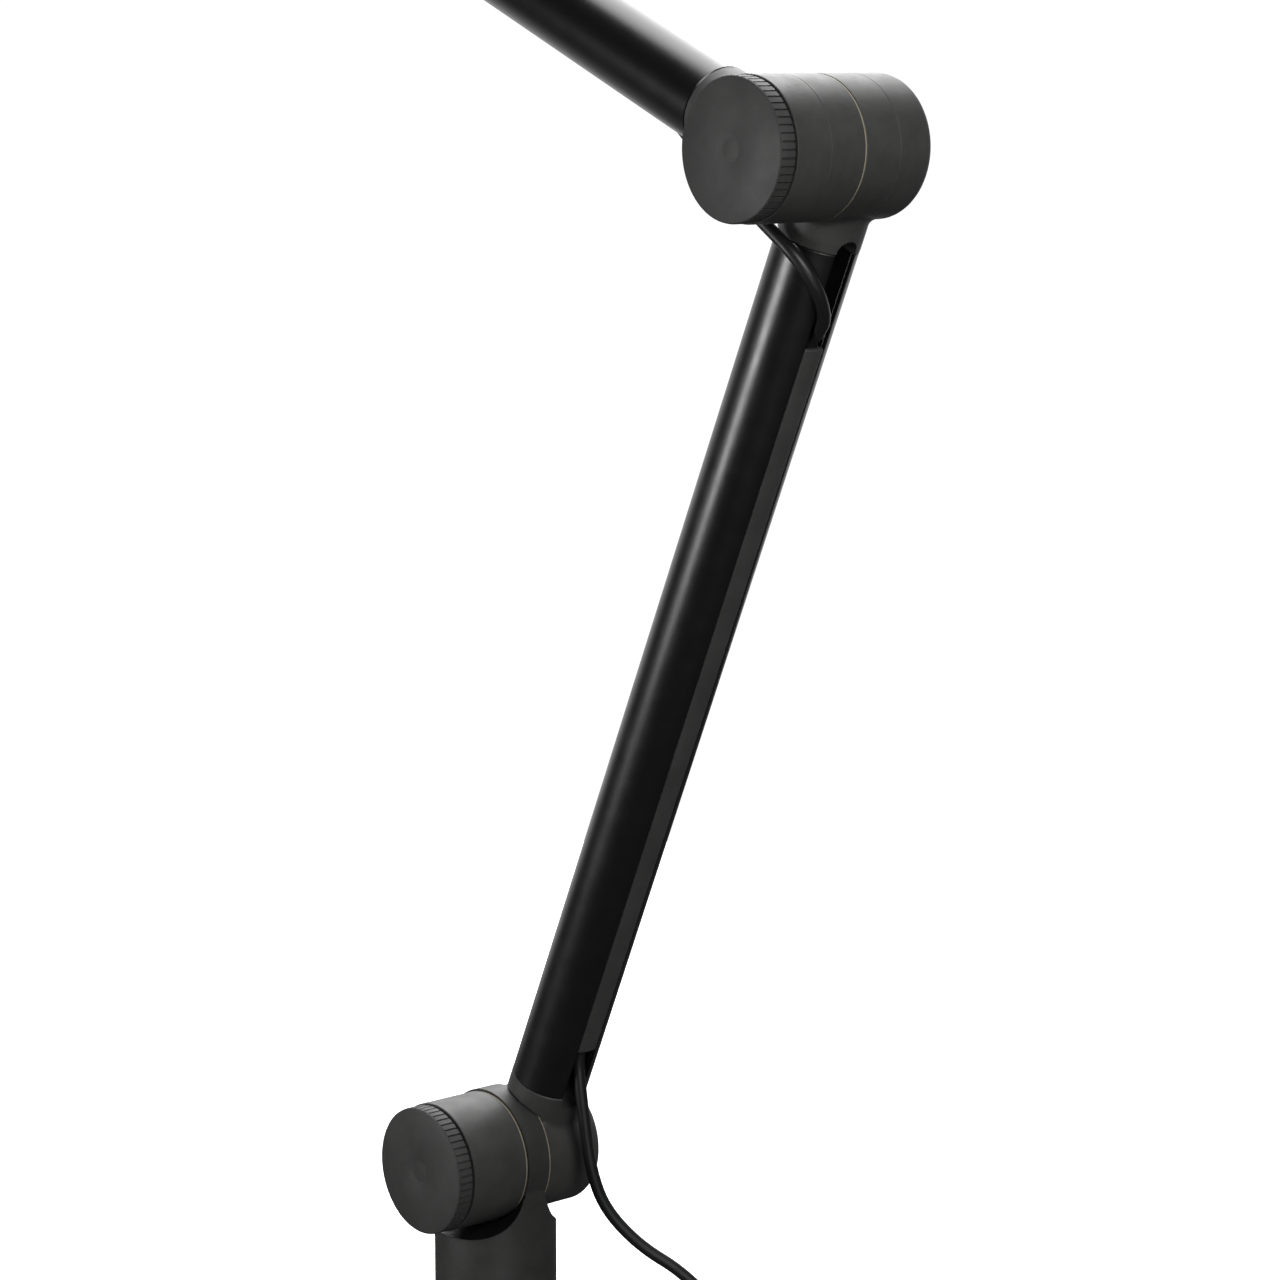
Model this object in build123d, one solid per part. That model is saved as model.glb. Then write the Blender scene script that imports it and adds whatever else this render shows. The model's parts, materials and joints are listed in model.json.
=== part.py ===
from build123d import *
import os
from math import cos, pi, radians, sin, tan

# A desktop boom arm on a weighted round base. Millimetres, +Z up, origin at the
# centre of the base's underside. Both arms swing in planes parallel to XZ, about
# clamped joints whose axes run along Y. The tension knobs are on the -Y side.

# ---- driving dimensions -------------------------------------------------------
PIVOT_Z = 150.0            # shoulder axis above the desk
ARM = 400.0                # pivot to pivot, for each arm
LEAN = 23.94               # lower arm from the vertical, towards +X
RAISE = -66.57             # forearm from the vertical, towards -X
LOWER_Y = 15.78            # centre plane of the lower tube
UPPER_Y = -13.9            # centre plane of the forearm tube

TUBE_R = 13.87
COLLAR_R = 13.95
BORE_R = 11.4              # hollow of the tube
CHANNEL = 3.7              # half width of the cable channel
MOUTH = 4.2                # half width of the rebate that the cover lies in
CHANNEL_FLOOR = 5.8        # from the tube's centre
REBATE_FLOOR = 12.25
SEAM = 31.0                # from a pivot to the end of the tube
TOP_SEAM = 368.4           # the lower tube's upper end, from the shoulder
NOTCH = 5.0                # how far a collar's notch runs past the seam
COVER = (52.0, 334.5)      # lower cover, from the shoulder pivot
UPPER_COVER = (62.0, 338.0)

POST_R = 22.19
POST_BOTTOM = 40.0
LUG = (-3.6, 5.9)          # the post's lug, along Y
LUG_R = 24.0
SCOOP_R = 24.6             # hollow in the post's top that the housings turn in
SCOOP_FLOOR = 123.2        # of the pocket milled straight through beside the lug
NEAR_FILLET = 20.0         # between that floor and the lug, on the knob's side
FAR_FILLET = 18.0
NEAR_R = 23.3
FAR_R = 22.95
FAR_END = 32.2             # the far housings' rounded ends, along Y
ELBOW_R = 23.2
ELBOW_END = 31.9
KNOB_R = 22.9
FLUTES = 56

PIN_R = 5.0                # joint bolt's shank
BUSH_BORE = 5.05           # 0.05 mm running clearance on the shank
BUSH_R = 7.0
THREAD_R = 3.95
INSERT_BORE = 4.0
HUB_R = 8.0                # knob's hub
RECESS_R = 12.0            # pocket in a housing for the springs and the hub

WRIST_R = 16.0
WRIST_PIN_R = 3.0
HEAD_Y = -3.05             # centre of the head's stem
STEM_R = 10.3
STUD_R = 7.94              # 5/8 inch stud
STUD_NECK_R = 8.6
STUD_LENGTH = 14.0

BASE_R = 115.0
BASE_TOP = 16.0
PAD_R = 109.0
PAD = 2.5
SPINDLE_R = 12.0

CORD_R = 2.2
SCREW_STEPS = (6, 13)      # collar screws, from the seam
RUN_DEPTH = 9.4            # cable's centre from the tube's centre, under the cover
COIL_AT = (134.0, 116.0)
COIL_MID_R = 24.0
COIL_BAND = 17.6           # four turns side by side
COIL_Z = (1.1, 9.9)        # two layers
TIE_ANGLE = 65.0

ELBOW_X = ARM * sin(radians(LEAN))
ELBOW_Z = PIVOT_Z + ARM * cos(radians(LEAN))

SHOULDER = Pos(0, 0, PIVOT_Z)
LOWER = SHOULDER * Rot(0, LEAN, 0)
ELBOW_LOW = LOWER * Pos(0, 0, ARM)
UPPER = Pos(ELBOW_X, 0, ELBOW_Z) * Rot(0, RAISE, 0)
WRIST = UPPER * Pos(0, 0, ARM)

# The cable's routes, chosen by hand. The loop hangs at the elbow, from the forearm's
# channel into the lower arm's. The tail falls from the lower channel to the desk.
LOOP = [
    (96.2, -13.9, 533.95), (104.4, -13.9, 530.4), (113.7, -13.9, 523.8), (123.2, -12.9, 514.7),
    (132.6, -10.2, 504.8), (140.6, -6.4, 496.3), (146.4, -3.9, 490.4), (151.4, -2.5, 486.0),
    (156.1, -0.9, 481.3), (159.4, 2.0, 475.5), (159.8, 6.4, 468.9), (156.9, 11.8, 461.0),
    (150.6, 15.3, 456.4), (144.0, 15.78, 451.3), (141.0, 15.78, 444.4),
]
TAIL = [
    (30.5, 15.78, 195.5), (28.1, 15.78, 188.9), (29.2, 16.0, 178.0), (30.5, 16.9, 164.5),
    (32.1, 18.3, 148.0), (35.0, 22.2, 132.8), (43.2, 32.0, 118.4), (53.1, 45.0, 107.8),
    (64.6, 57.0, 89.6), (75.4, 69.6, 68.8), (84.0, 81.6, 46.4), (90.6, 93.4, 23.4),
    (97.4, 108.2, 3.3), (106.4, 128.6, 3.3),
]
PLUG_END = [
    (164.1, 110.7, 7.7), (161.0, 92.6, 6.2), (157.2, 77.0, 4.6), (153.2, 63.0, 4.6),
]


# ---- plain shapes ---------------------------------------------------------------
def barrel(radius, start, end, around=(0, 0)):
    """A round bar along Y from start to end, about the point (x, z)."""
    place = Pos(around[0], (start + end) / 2, around[1]) * Rot(90, 0, 0)
    return place * Cylinder(radius, end - start)


def sleeve(outer, inner, start, end):
    return barrel(outer, start, end) - barrel(inner, start - 1, end + 1)


def rod(radius, bottom, top, y=0.0):
    """A round bar along Z from bottom to top."""
    return Pos(0, y, (bottom + top) / 2) * Cylinder(radius, top - bottom)


def tube(outer, inner, bottom, top):
    return rod(outer, bottom, top) - rod(inner, bottom - 1, top + 1)


def block(x, y, z):
    """A box between pairs of limits."""
    centre = Pos(sum(x) / 2, sum(y) / 2, sum(z) / 2)
    return centre * Box(x[1] - x[0], y[1] - y[0], z[1] - z[0])


def hexagon_bar(across, start, end):
    """A hexagonal bar along Y, given across its flats."""
    face = Rot(90, 0, 0) * RegularPolygon(across / 2, 6, major_radius=False)
    return Pos(0, end, 0) * extrude(face, end - start, dir=(0, -1, 0))


def soften(solid, axis, end, radius):
    """Round the outermost circular edge at one end of a bar."""
    edges = solid.edges().filter_by(GeomType.CIRCLE).group_by(axis)[end]
    return fillet(edges.sort_by(SortBy.RADIUS)[-1:], radius)


# ---- base -----------------------------------------------------------------------
SOCKET_SCREWS = [30.5 * Vector(cos(a), sin(a)) for a in (radians(120 * k + 90) for k in range(3))]


def base_plate():
    plate = soften(rod(BASE_R, PAD, BASE_TOP), Axis.Z, -1, 4)
    plate -= rod(SPINDLE_R + 5, 0, BASE_TOP + 1)
    for at in SOCKET_SCREWS:
        plate -= Pos(at.X, at.Y, 0) * rod(2.6, 0, BASE_TOP + 1)
        plate -= Pos(at.X, at.Y, 0) * rod(4.8, 0, PAD + 5.5)
    return plate


def foot_pad():
    """Rubber disc stuck over the underside and its screws."""
    return rod(PAD_R, 0, PAD)


def base_socket():
    flange = soften(rod(36, BASE_TOP, BASE_TOP + 5), Axis.Z, -1, 1.5)
    boss = soften(rod(25.5, BASE_TOP + 4, POST_BOTTOM - 2), Axis.Z, -1, 1)
    socket = flange + boss - rod(15, BASE_TOP - 1, POST_BOTTOM)
    for at in SOCKET_SCREWS:
        socket -= Pos(at.X, at.Y, 0) * rod(2.1, BASE_TOP - 1, BASE_TOP + 4)
    return socket


def socket_screws():
    screw = rod(4.25, PAD + 1.5, PAD + 5.4) + rod(2.05, PAD + 5, BASE_TOP + 3.5)
    screw -= Pos(0, 0, PAD + 1.5) * extrude(RegularPolygon(1.5, 6, major_radius=False), 2.2)
    return [Pos(at.X, at.Y, 0) * screw for at in SOCKET_SCREWS]


def swivel_bush():
    return tube(15, SPINDLE_R + 0.05, BASE_TOP + 0.5, POST_BOTTOM - 2.2)


# ---- post -----------------------------------------------------------------------
def scoop(face, outwards, radius):
    """What is cut out of the post's top on one side of the lug: a pocket through it
    along X with a rounded inner corner, and room for the housing to turn."""
    limits = sorted((face, face + 40 * outwards))
    pocket = block((-40, 40), limits, (SCOOP_FLOOR, PIVOT_Z + 40))
    floor_edges = pocket.edges().filter_by(Axis.X).group_by(Axis.Z)[0]
    pocket = fillet(floor_edges.sort_by_distance((0, face, SCOOP_FLOOR))[:1], radius)
    return pocket + SHOULDER * barrel(SCOOP_R, *limits)


def post():
    body = rod(POST_R, POST_BOTTOM, PIVOT_Z)
    body -= scoop(LUG[0], -1, NEAR_FILLET)
    body -= scoop(LUG[1], 1, FAR_FILLET)
    body += SHOULDER * barrel(LUG_R, *LUG)
    body -= SHOULDER * barrel(BUSH_R, LUG[0] - 1, LUG[1] + 1)
    return body - rod(SPINDLE_R, POST_BOTTOM - 1, 80)


def post_spindle():
    shaft = rod(SPINDLE_R, PAD + 5, 79.8)
    return chamfer(shaft.edges().group_by(Axis.Z)[0], 1) - rod(3, 0, 24)


def spindle_washer():
    return tube(15.5, 4.1, PAD + 3.2, PAD + 4.9)


def spindle_screw():
    head = extrude(RegularPolygon(6.5, 6, major_radius=False), 2.9)
    return Pos(0, 0, PAD + 0.3) * head + rod(2.95, PAD + 3, 23)


def thrust_washer():
    return tube(21.5, SPINDLE_R + 0.2, POST_BOTTOM - 1.9, POST_BOTTOM)


def lug_bush():
    return sleeve(BUSH_R, BUSH_BORE, *LUG)


# ---- joints ---------------------------------------------------------------------
def joint_bolt(thread_end, shank_start, head_start):
    """Hexagon-headed bolt along Y: thread at -Y, shank, head at +Y."""
    bolt = barrel(THREAD_R, thread_end, shank_start + 1) + barrel(PIN_R, shank_start, head_start)
    return bolt + hexagon_bar(15, head_start, head_start + 6)


def disc_springs(start, end):
    """Four cupped spring discs in series, each a thin cone."""
    pitch = (end - start) / 4
    discs = []
    for k in range(4):
        cupped = 1 if k % 2 else -1
        low = start + pitch * k
        inner, outer = (low, low + 0.45) if cupped > 0 else (low + 0.45, low)
        with BuildPart() as disc:
            with BuildSketch(Plane.XY):
                with BuildLine():
                    Polyline(
                        (PIN_R + 0.4, inner), (10.5, outer), (10.5, outer + 0.7),
                        (PIN_R + 0.4, inner + 0.7), close=True,
                    )
                make_face()
            revolve(axis=Axis.Y)
        discs.append(disc.part)
    return discs


def knob(face, back, hub_end, insert_end):
    """Flat-faced tension knob with a fluted rim. Its face looks towards -Y."""
    body = barrel(KNOB_R, face + 0.6, back)
    groove = barrel(0.75, face + 0.5, back + 1, around=(KNOB_R + 0.25, 0))
    for k in range(FLUTES):
        body -= Rot(0, 360 * k / FLUTES, 0) * groove
    body -= sleeve(KNOB_R - 2.4, HUB_R, face + 3.4, back + 1)
    body -= barrel(KNOB_R - 1.9, face, face + 1.4)
    body += barrel(HUB_R, face + 3, hub_end)
    return body - barrel(5.5, face + 2.4, insert_end + 1)


def knob_cap(face):
    """Thin disc that closes the knob's face, with a turned centre mark."""
    cap = chamfer(barrel(KNOB_R - 0.15, face, face + 0.6).edges().group_by(Axis.Y)[0], 0.25)
    cap += barrel(KNOB_R - 2.0, face + 0.5, face + 1.4)
    return cap - sleeve(4.4, 4.0, face - 1, face + 0.12)


def knob_insert(start, end):
    """Knurled brass nut moulded into the knob's hub."""
    return sleeve(5.5, INSERT_BORE, start, end) - barrel(5.0, start - 1, start + 0.01)


def near_shoulder():
    housing = barrel(NEAR_R, -27.65, -4.2)
    housing -= barrel(RECESS_R, -28.65, -14)
    return housing - barrel(BUSH_BORE, -15, -3)


def cable_notch(y, seam, towards, side):
    """Round-ended slot in a collar, in line with the tube's channel."""
    end = seam - towards * (NOTCH - MOUTH)
    limits = sorted((end, seam + 2 * towards))
    x = sorted((side * CHANNEL_FLOOR, side * 20))
    slot = block(x, (y - MOUTH, y + MOUTH), limits)
    drill = Pos(side * (CHANNEL_FLOOR + 7.1), y, end) * Rot(0, 90, 0)
    return slot + drill * Cylinder(MOUTH, 14.2)


def spigot(y, seam, towards, side):
    """The tongue that a collar pushes into its tube, clear of the cable channel."""
    ends = sorted((seam - 4 * towards, seam + 18 * towards))
    tongue = rod(BORE_R - 0.05, *ends, y=y)
    x = sorted((side * 3.85, side * 20))
    return tongue - block(x, (y - 20, y + 20), (ends[0] - 1, ends[1] + 1))


def collar(y, seam, towards, side, centre):
    """Collar and tongue of a housing whose pivot is at z = centre."""
    body = rod(COLLAR_R, *sorted((centre, seam)), y=y)
    return body, spigot(y, seam, towards, side), cable_notch(y, seam, towards, side)


def shoulder_far():
    housing = soften(barrel(FAR_R, 6.55, FAR_END), Axis.Y, -1, 4)
    neck, tongue, notch = collar(LOWER_Y, SEAM, 1, 1, 0)
    neck -= barrel(LUG_R + 0.6, -20, 6.55)
    housing = housing + neck - barrel(BUSH_BORE, 6, 21) - barrel(10, 20, 40)
    return housing + tongue - notch


def elbow_far():
    """Upper end of the lower arm, drawn about the shoulder pivot."""
    housing = soften(barrel(ELBOW_R, 1.65, ELBOW_END), Axis.Y, -1, 4)
    housing = Pos(0, 0, ARM) * housing
    neck, tongue, notch = collar(LOWER_Y, TOP_SEAM, -1, 1, ARM)
    bores = Pos(0, 0, ARM) * (barrel(BUSH_BORE, 1, 20) + barrel(10, 19, 40))
    return housing + neck - bores + tongue - notch


def elbow_near():
    housing = barrel(ELBOW_R, -27.8, 1.05)
    neck, tongue, notch = collar(UPPER_Y, SEAM, 1, -1, 0)
    bores = barrel(RECESS_R, -40, -13) + barrel(BUSH_R, -14, 2)
    return housing + neck - bores + tongue - notch


def end_cap(start, end):
    """Domed plug over a bolt's head."""
    return soften(barrel(9.95, start, end), Axis.Y, -1, 0.8)


# ---- tubes, covers and the cable in them -----------------------------------------
def arm_tube(y, low, high, side):
    profile = Circle(TUBE_R)
    profile -= Pos(side * 20, 0) * Rectangle(2 * (20 - CHANNEL_FLOOR), 2 * CHANNEL)
    profile -= Pos(side * 20, 0) * Rectangle(2 * (20 - REBATE_FLOOR), 2 * MOUTH)
    hollow = Circle(BORE_R)
    hollow -= Pos(side * 20, 0) * Rectangle(2 * (20 - CHANNEL_FLOOR + 1.9), 2 * CHANNEL + 3.8)
    return Pos(0, y, low) * extrude(profile - hollow, high - low)


def cover(y, low, high, side):
    """Snap-in strip, flush with the tube, with two legs that grip the channel."""
    strip = Circle(TUBE_R) & Pos(side * (REBATE_FLOOR + 5.1), 0) * Rectangle(10, 2 * MOUTH - 0.2)
    leg = Rectangle(2.7, 0.7)
    for edge in (-1, 1):
        strip += Pos(side * (REBATE_FLOOR - 1.2), edge * (CHANNEL - 0.45)) * leg
    return Pos(0, y, low) * extrude(strip, high - low)


def cable_run(y, low, high, side):
    return Pos(side * RUN_DEPTH, 0, 0) * rod(CORD_R, low, high, y=y)


def collar_screws(y, seam, towards):
    """Two countersunk screws through the tube's +Y side into the tongue."""
    face = y + TUBE_R - 0.4
    screw = barrel(1.2, face - 5, face) + barrel(2.3, face - 1.1, face) - hexagon_bar(2, face - 1, face)
    return [Pos(0, 0, seam + towards * step) * screw for step in SCREW_STEPS]


def screw_holes(y, seam, towards):
    face = y + TUBE_R - 0.4
    hole = barrel(1.2, face - 5.2, face) + barrel(2.35, face - 1.1, face + 2)
    near, far = (Pos(0, 0, seam + towards * step) * hole for step in SCREW_STEPS)
    return near + far


# ---- wrist and head, drawn about the wrist pivot ----------------------------------
def wrist_housing():
    """Outer end of the forearm. Its near half carries the tilt bolt."""
    half = barrel(WRIST_R, -27.8, -14.2)
    neck = rod(COLLAR_R, -ARM + TOP_SEAM, 0, y=UPPER_Y)
    neck -= barrel(SEAM - 4, -14.2, 20)
    neck -= block((-20, 20), (-40, 20), (0, 20))
    seam = TOP_SEAM - ARM
    body = half + neck - barrel(WRIST_PIN_R + 0.02, -30, -13) - barrel(RECESS_R - 3, -30, -20)
    return body + spigot(UPPER_Y, seam, -1, -1) - cable_notch(UPPER_Y, seam, -1, -1)


def wrist_washer():
    return sleeve(WRIST_R, WRIST_PIN_R + 0.2, -14.2, -13.7)


def wrist_bolt():
    return barrel(WRIST_PIN_R, -36, -2.5) + hexagon_bar(8, -2.5, 0.5)


def wrist_knob():
    """Small three-lobed thumb knob."""
    body = barrel(9, -38, -29)
    for k in range(3):
        body += Rot(0, 120 * k, 0) * barrel(5, -38, -29, around=(8.5, 0))
    return body + barrel(6, -29.5, -21) - barrel(WRIST_PIN_R + 0.05, -36.5, -20)


def head_block():
    """Tilting block: a half barrel with a stem that the stud screws into."""
    body = soften(barrel(WRIST_R, -13.6, 7.5), Axis.Y, -1, 1.5) + rod(STEM_R, -26, 0, y=HEAD_Y)
    body -= barrel(WRIST_PIN_R + 0.05, -14, 1) + barrel(5.2, -2.6, 9)
    return body - rod(5, -27, -18, y=HEAD_Y)


def head_cap():
    return soften(barrel(5.15, 5, 7.8), Axis.Y, -1, 0.6)


def stud():
    """Flange, neck for the lock ring, and the stud's free end, pointing down."""
    body = rod(11.2, -28.5, -26, y=HEAD_Y) + rod(STUD_NECK_R, -34, -28, y=HEAD_Y)
    thread = rod(STUD_R, -34 - STUD_LENGTH, -33, y=HEAD_Y)
    thread = chamfer(thread.edges().group_by(Axis.Z)[0], 1)
    return body + thread + rod(4.95, -26.5, -18.5, y=HEAD_Y)


def lock_ring():
    ring = Pos(0, HEAD_Y, 0) * tube(12, STUD_NECK_R + 0.06, -33.6, -28.8)
    for k in range(18):
        ring -= Pos(0, HEAD_Y, 0) * Rot(0, 0, 20 * k) * Pos(12.4, 0, -31.2) * Cylinder(1.1, 6)
    return ring


def head_socket():
    """Cable's outlet, clipped into the end of the forearm's channel."""
    body = block((-14.3, -6.4), (UPPER_Y - 3.6, UPPER_Y + 3.6), (-31, -28.6))
    return body + Pos(-RUN_DEPTH - 1, 0, 0) * rod(3.2, -33, -31, y=UPPER_Y)


# ---- the cable outside the arm ----------------------------------------------------
def corner_radii(points):
    """0.45 of the shorter run over the tangent of half the turn, at each corner."""
    radii = []
    for a, b, c in zip(points, points[1:], points[2:]):
        run, next_run = Vector(b) - Vector(a), Vector(c) - Vector(b)
        turn = radians(run.get_angle(next_run))
        radii.append(0.45 * min(run.length, next_run.length) / tan(turn / 2))
    return radii


def cord(name, points):
    radii = corner_radii(points)
    path = FilletPolyline(*points, radius=radii)
    start = Plane(origin=points[0], z_dir=Vector(points[1]) - Vector(points[0]))
    solid = sweep(start * Circle(CORD_R), path=path)
    ideal = pi * CORD_R**2 * path.length
    print(f"{name}: length {path.length:.1f}, volume ratio {solid.volume / ideal:.4f}")
    print("  radii", [round(r, 1) for r in radii])
    return solid


def cable_coil():
    """Outer shape of the wound cable, lying on the desk."""
    height = COIL_Z[1] - COIL_Z[0]
    profile = Pos(COIL_MID_R, sum(COIL_Z) / 2) * RectangleRounded(COIL_BAND, height, CORD_R - 0.01)
    ring = revolve(Plane.XZ * profile, Axis.Z)
    return Pos(*COIL_AT, 0) * ring


def cable_tie():
    """Strap round the coil's band."""
    outer = block((COIL_MID_R - 10.0, COIL_MID_R + 10.0), (-5, 5), (COIL_Z[0] - 1, COIL_Z[1] + 1))
    place = Pos(*COIL_AT, 0) * Rot(0, 0, TIE_ANGLE)
    return place * outer - cable_coil()


def plug_place():
    end, before = Vector(PLUG_END[-1]), Vector(PLUG_END[-2])
    along = (end - before).normalized()
    return Location(Plane(origin=end, x_dir=along.cross(Vector(0, 0, 1)), z_dir=along))


def plug_relief():
    """Tapered strain relief."""
    return plug_place() * Pos(0, 0, 7) * Cone(CORD_R + 0.6, 3.6, 14)


def plug_body():
    return plug_place() * Pos(0, 0, 14) * extrude(RectangleRounded(15.8, 8.4, 2.6), 22)


def plug_shell():
    shell = extrude(RectangleRounded(12, 4.5, 0.4), 12) - Pos(0, 0, 2) * extrude(Rectangle(11.2, 3.7), 11)
    tongue = Pos(0, 0.9, 1) * extrude(Rectangle(11.2, 1.7), 10)
    return plug_place() * Pos(0, 0, 36) * (shell + tongue)


def shown(place, solids):
    return [place * solid for solid in solids]


def lower_tube():
    tube_ = arm_tube(LOWER_Y, SEAM + 0.05, TOP_SEAM - 0.05, 1)
    return tube_ - screw_holes(LOWER_Y, SEAM, 1) - screw_holes(LOWER_Y, TOP_SEAM, -1)


def forearm_tube():
    tube_ = arm_tube(UPPER_Y, SEAM + 0.05, TOP_SEAM - 0.05, -1)
    return tube_ - screw_holes(UPPER_Y, SEAM, 1) - screw_holes(UPPER_Y, TOP_SEAM, -1)


def all_screws(y):
    return collar_screws(y, SEAM, 1) + collar_screws(y, TOP_SEAM, -1)


nodes = {
    "base_plate": base_plate(),
    "foot_pad": foot_pad(),
    "base_socket": base_socket(),
    "socket_screws": socket_screws(),
    "swivel_bush": swivel_bush(),
    "post": post(),
    "post_spindle": post_spindle(),
    "spindle_washer": spindle_washer(),
    "spindle_screw": spindle_screw(),
    "thrust_washer": thrust_washer(),
    "lug_bush": SHOULDER * lug_bush(),
    "shoulder_near_housing": SHOULDER * near_shoulder(),
    "shoulder_near_washer": SHOULDER * sleeve(NEAR_R, 5.2, -4.15, -3.65),
    "shoulder_far_washer": SHOULDER * sleeve(NEAR_R, 5.2, 5.95, 6.5),
    "shoulder_far_housing": LOWER * (shoulder_far() - screw_holes(LOWER_Y, SEAM, 1)),
    "shoulder_bolt": SHOULDER * joint_bolt(-31.8, -14, 20),
    "shoulder_springs": shown(SHOULDER, disc_springs(-19.6, -14)),
    "shoulder_bolt_cap": SHOULDER * end_cap(28, FAR_END - 0.1),
    "lower_tube": LOWER * lower_tube(),
    "lower_tube_screws": shown(LOWER, all_screws(LOWER_Y)),
    "lower_cover": LOWER * cover(LOWER_Y, *COVER, 1),
    "lower_cable": LOWER * cable_run(LOWER_Y, 54.6, 326, 1),
    "elbow_far_housing": LOWER * (elbow_far() - screw_holes(LOWER_Y, TOP_SEAM, -1)),
    "elbow_bolt": ELBOW_LOW * joint_bolt(-31.8, -13, 19),
    "elbow_bolt_cap": ELBOW_LOW * end_cap(27.7, ELBOW_END - 0.1),
    "elbow_washer": ELBOW_LOW * sleeve(ELBOW_R, 5.2, 1.1, 1.6),
    "elbow_springs": shown(ELBOW_LOW, disc_springs(-19.6, -13.2)),
    "elbow_near_housing": UPPER * (elbow_near() - screw_holes(UPPER_Y, SEAM, 1)),
    "elbow_bush": UPPER * sleeve(BUSH_R, BUSH_BORE, -13, 1.05),
    "forearm_tube": UPPER * forearm_tube(),
    "forearm_tube_screws": shown(UPPER, all_screws(UPPER_Y)),
    "forearm_cover": UPPER * cover(UPPER_Y, *UPPER_COVER, -1),
    "forearm_cable": UPPER * cable_run(UPPER_Y, 68.6, 367, -1),
    "wrist_housing": WRIST * (wrist_housing() - screw_holes(UPPER_Y, TOP_SEAM - ARM, -1)),
    "wrist_washer": WRIST * wrist_washer(),
    "head_socket": WRIST * head_socket(),
}

WRIST_UPRIGHT = Pos(*WRIST.position)
nodes |= {
    "wrist_bolt": WRIST_UPRIGHT * wrist_bolt(),
    "wrist_knob": WRIST_UPRIGHT * wrist_knob(),
    "head_block": WRIST_UPRIGHT * head_block(),
    "head_cap": WRIST_UPRIGHT * head_cap(),
    "stud": WRIST_UPRIGHT * stud(),
    "lock_ring": WRIST_UPRIGHT * lock_ring(),
    "shoulder_knob": SHOULDER * knob(-34.57, -28.35, -20, -21),
    "shoulder_knob_cap": SHOULDER * knob_cap(-34.57),
    "shoulder_knob_insert": SHOULDER * knob_insert(-32.0, -20.5),
    "elbow_knob": ELBOW_LOW * knob(-34.69, -28.5, -20, -21),
    "elbow_knob_cap": ELBOW_LOW * knob_cap(-34.69),
    "elbow_knob_insert": ELBOW_LOW * knob_insert(-32.1, -20.5),
    "elbow_cable_loop": cord("elbow_cable_loop", LOOP),
    "cable_tail": cord("cable_tail", TAIL),
    "cable_coil": cable_coil(),
    "cable_end": cord("cable_end", PLUG_END),
    "cable_tie": cable_tie(),
    "plug_relief": plug_relief(),
    "plug_body": plug_body(),
    "plug_shell": plug_shell(),
}

os.makedirs("parts", exist_ok=True)
for name, shape in nodes.items():
    solids = shape if isinstance(shape, list) else [shape]
    export_step(Compound(children=solids) if len(solids) > 1 else solids[0], f"parts/{name}.step")
print(len(nodes), "nodes, elbow at", round(ELBOW_X, 2), round(ELBOW_Z, 2), "wrist at", WRIST.position)
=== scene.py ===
import json
from math import acos, asin, atan2, cos, pi, radians, sin, sqrt, tau

import bmesh
import bpy
from mathutils import Matrix, Vector


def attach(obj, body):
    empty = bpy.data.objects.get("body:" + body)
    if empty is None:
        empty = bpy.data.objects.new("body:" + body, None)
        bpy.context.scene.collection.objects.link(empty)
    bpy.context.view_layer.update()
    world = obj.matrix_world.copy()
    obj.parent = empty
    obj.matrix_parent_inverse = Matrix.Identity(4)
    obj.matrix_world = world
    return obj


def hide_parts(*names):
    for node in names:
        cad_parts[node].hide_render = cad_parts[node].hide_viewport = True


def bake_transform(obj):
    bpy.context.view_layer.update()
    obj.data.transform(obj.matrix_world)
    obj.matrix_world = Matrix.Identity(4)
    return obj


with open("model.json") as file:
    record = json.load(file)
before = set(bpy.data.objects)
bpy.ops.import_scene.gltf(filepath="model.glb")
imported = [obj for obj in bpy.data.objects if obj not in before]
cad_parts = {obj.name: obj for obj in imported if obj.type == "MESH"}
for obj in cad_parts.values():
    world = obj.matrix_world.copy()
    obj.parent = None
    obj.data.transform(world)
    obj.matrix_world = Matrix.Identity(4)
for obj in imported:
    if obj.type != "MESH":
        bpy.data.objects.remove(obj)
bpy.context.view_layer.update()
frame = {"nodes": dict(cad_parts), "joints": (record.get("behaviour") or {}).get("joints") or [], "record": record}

# Looks of the desktop boom arm. Pieces are drawn in millimetres about a pivot, with
# z along their arm and y along the joint's axis, and then put in the row's frame.
MM = 0.001

TUBE_R = 13.87
COLLAR_R = 13.95
BORE_R = 11.4              # hollow of the tube
LOWER_Y = 15.78            # centre planes of the two tubes
UPPER_Y = -13.9
CHANNEL = 3.7              # half width of the cable channel
MOUTH = 4.2                # half width of the rebate that the cover lies in
CHANNEL_FLOOR = 5.8        # from the tube's centre
REBATE_FLOOR = 12.25
CHANNEL_WALL = 1.9
ARM = 400.0                # pivot to pivot
SEAM = 31.0                # from a pivot to the end of the tube
TOP_SEAM = 31.6            # the same at the lower tube's upper end
TUBE_GAP = 0.15            # between a tube's end and its collar
NOTCH = 5.0                # how far a collar's notch runs past the seam
COVER = (52.0, 334.5)      # from the arm's lower pivot
UPPER_COVER = (62.0, 338.0)

LUG_R = 24.0
NEAR_R = 23.3
FAR_R = 22.95
ELBOW_R = 23.2
NEAR_SPAN = (-27.65, -4.2)         # the barrels, along y
FAR_SPAN = (6.55, 32.2)
ELBOW_NEAR_SPAN = (-27.8, 1.05)
ELBOW_FAR_SPAN = (1.65, 31.9)
NEAR_PARTING = -13.6               # the elbow barrels' fine parting lines
FAR_PARTING = 16.4
CAP_POCKET_R = 10.0                # the bolt's cap lies in it
ROUND_END = 4.0                    # of a far barrel
COLLAR_FILLET = 3.5
LOW_COLLAR_FILLET = 3.0

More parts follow.
